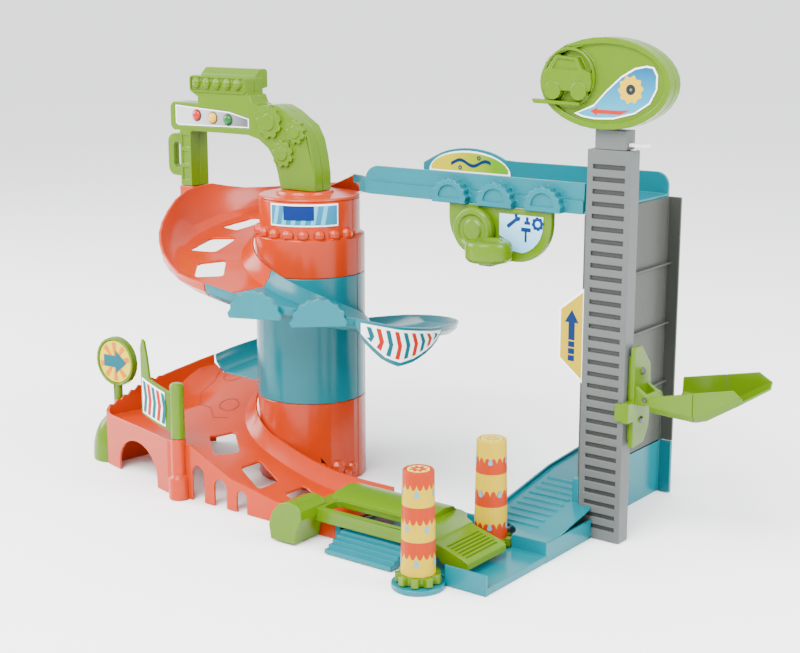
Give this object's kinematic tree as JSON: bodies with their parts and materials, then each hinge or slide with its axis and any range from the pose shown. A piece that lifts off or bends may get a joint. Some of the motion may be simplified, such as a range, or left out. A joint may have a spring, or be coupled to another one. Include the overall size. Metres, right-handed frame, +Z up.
{
  "type": "toy parking garage",
  "caption": "Child's parking garage: a spiral car track round a column, a bridge, a workshop panel, a lift with a tilting tray, and a wash lane with rollers and a press plate.",
  "frame": {"origin": "on the column's axis, at the ground", "axes": "+X along the bridge towards the lift, +Y to the back, +Z up"},
  "size_m": [0.65, 0.3475, 0.4205],
  "materials": {
    "orange_moulding": "glossy moulded",
    "teal_moulding": "glossy moulded",
    "lime_moulding": "glossy moulded",
    "grey_moulding": "satin moulded",
    "white_moulding": "satin moulded",
    "silver_label": "printed film",
    "blue_label": "printed film",
    "yellow_label": "printed film",
    "white_label": "printed film",
    "band_label": "printed film",
    "lamp_red": "glossy moulded",
    "lamp_yellow": "glossy moulded",
    "lamp_green": "glossy moulded",
    "screw_steel": "zinc plated"
  },
  "bodies": {
    "garage": {"arch_back": "lime_moulding", "arch_front": "lime_moulding", "base_tray": "teal_moulding", "bridge_deck": "teal_moulding", "bridge_label": "yellow_label", "column_cap": "orange_moulding", "column_foot": "orange_moulding", "column_label": "blue_label", "column_lower_back": "orange_moulding", "column_lower_front": "orange_moulding", "column_middle_back": "teal_moulding", "column_middle_front": "teal_moulding", "column_upper_back": "orange_moulding", "column_upper_front": "orange_moulding", "disc_pin": "screw_steel", "gate_pin": "screw_steel", "head_lever": "white_moulding", "knob_pin": "screw_steel", "lamp_green": "lamp_green", "lamp_red": "lamp_red", "lamp_yellow": "lamp_yellow", "lift_arrow_sign": "yellow_label", "light_panel": "silver_label", "lower_track": "orange_moulding", "middle_track": "teal_moulding", "press_pin": "screw_steel", "roller_pin_back": "screw_steel", "roller_pin_front": "screw_steel", "round_sign": "lime_moulding", "round_sign_foot": "lime_moulding", "round_sign_label": "yellow_label", "sign_head_back": "lime_moulding", "sign_head_front": "lime_moulding", "sign_head_label": "blue_label", "tower_neck": "grey_moulding", "tower_rack": "grey_moulding", "tower_web": "grey_moulding", "turn_label": "white_label", "upper_track": "orange_moulding", "workshop_label": "blue_label", "workshop_panel": "lime_moulding"},
    "lift": {"lift_carriage": "lime_moulding", "tray_pin": "screw_steel", "carriage_screw_top": "screw_steel", "carriage_screw_low": "screw_steel"},
    "tray": {"lift_tray": "lime_moulding", "tray_end": "lime_moulding"},
    "front_roller": {"roller_front": "band_label", "roller_gear_front": "lime_moulding", "roller_cap_front": "yellow_label"},
    "back_roller": {"roller_back": "band_label", "roller_gear_back": "lime_moulding", "roller_cap_back": "yellow_label"},
    "disc": {"workshop_disc": "lime_moulding"},
    "knob": {"workshop_knob": "lime_moulding"},
    "gate": {"gate_barrier": "lime_moulding", "gate_label": "white_label"},
    "press": {"press_plate": "lime_moulding"}
  },
  "joints": [
    {"name": "lift_slide", "type": "slide", "parent": "garage", "child": "lift", "axis": [0, 0, 1], "range_m": [-0.075, 0.15]},
    {"name": "tray_tilt", "type": "hinge", "parent": "lift", "child": "tray", "pos_m": [0.354, 0.018, 0.126], "axis": [0, -1, 0], "range_deg": [-12.6, 15]},
    {"name": "front_roller_spin", "type": "hinge", "parent": "garage", "child": "front_roller", "pos_m": [0.2584, -0.178, 0.05], "axis": [0, 0, 1], "continuous": true},
    {"name": "back_roller_spin", "type": "hinge", "parent": "garage", "child": "back_roller", "pos_m": [0.2584, -0.076, 0.05], "axis": [0, 0, 1], "continuous": true},
    {"name": "workshop_disc_spin", "type": "hinge", "parent": "garage", "child": "disc", "pos_m": [0.1937, -0.0105, 0.2553], "axis": [0, -1, 0], "continuous": true},
    {"name": "workshop_knob_spin", "type": "hinge", "parent": "garage", "child": "knob", "pos_m": [0.224, -0.0325, 0.243], "axis": [0, 0, 1], "continuous": true},
    {"name": "gate_hinge", "type": "hinge", "parent": "garage", "child": "gate", "pos_m": [-0.0425, -0.1395, 0.08], "axis": [0, 0, 1], "range_deg": [-90, 10]},
    {"name": "press_hinge", "type": "hinge", "parent": "garage", "child": "press", "pos_m": [0.114, -0.155, 0.012], "axis": [0, 1, 0], "range_deg": [0, 1.15], "stiffness_Nm_per_rad": 2, "springref_deg": -5.73}
  ]
}
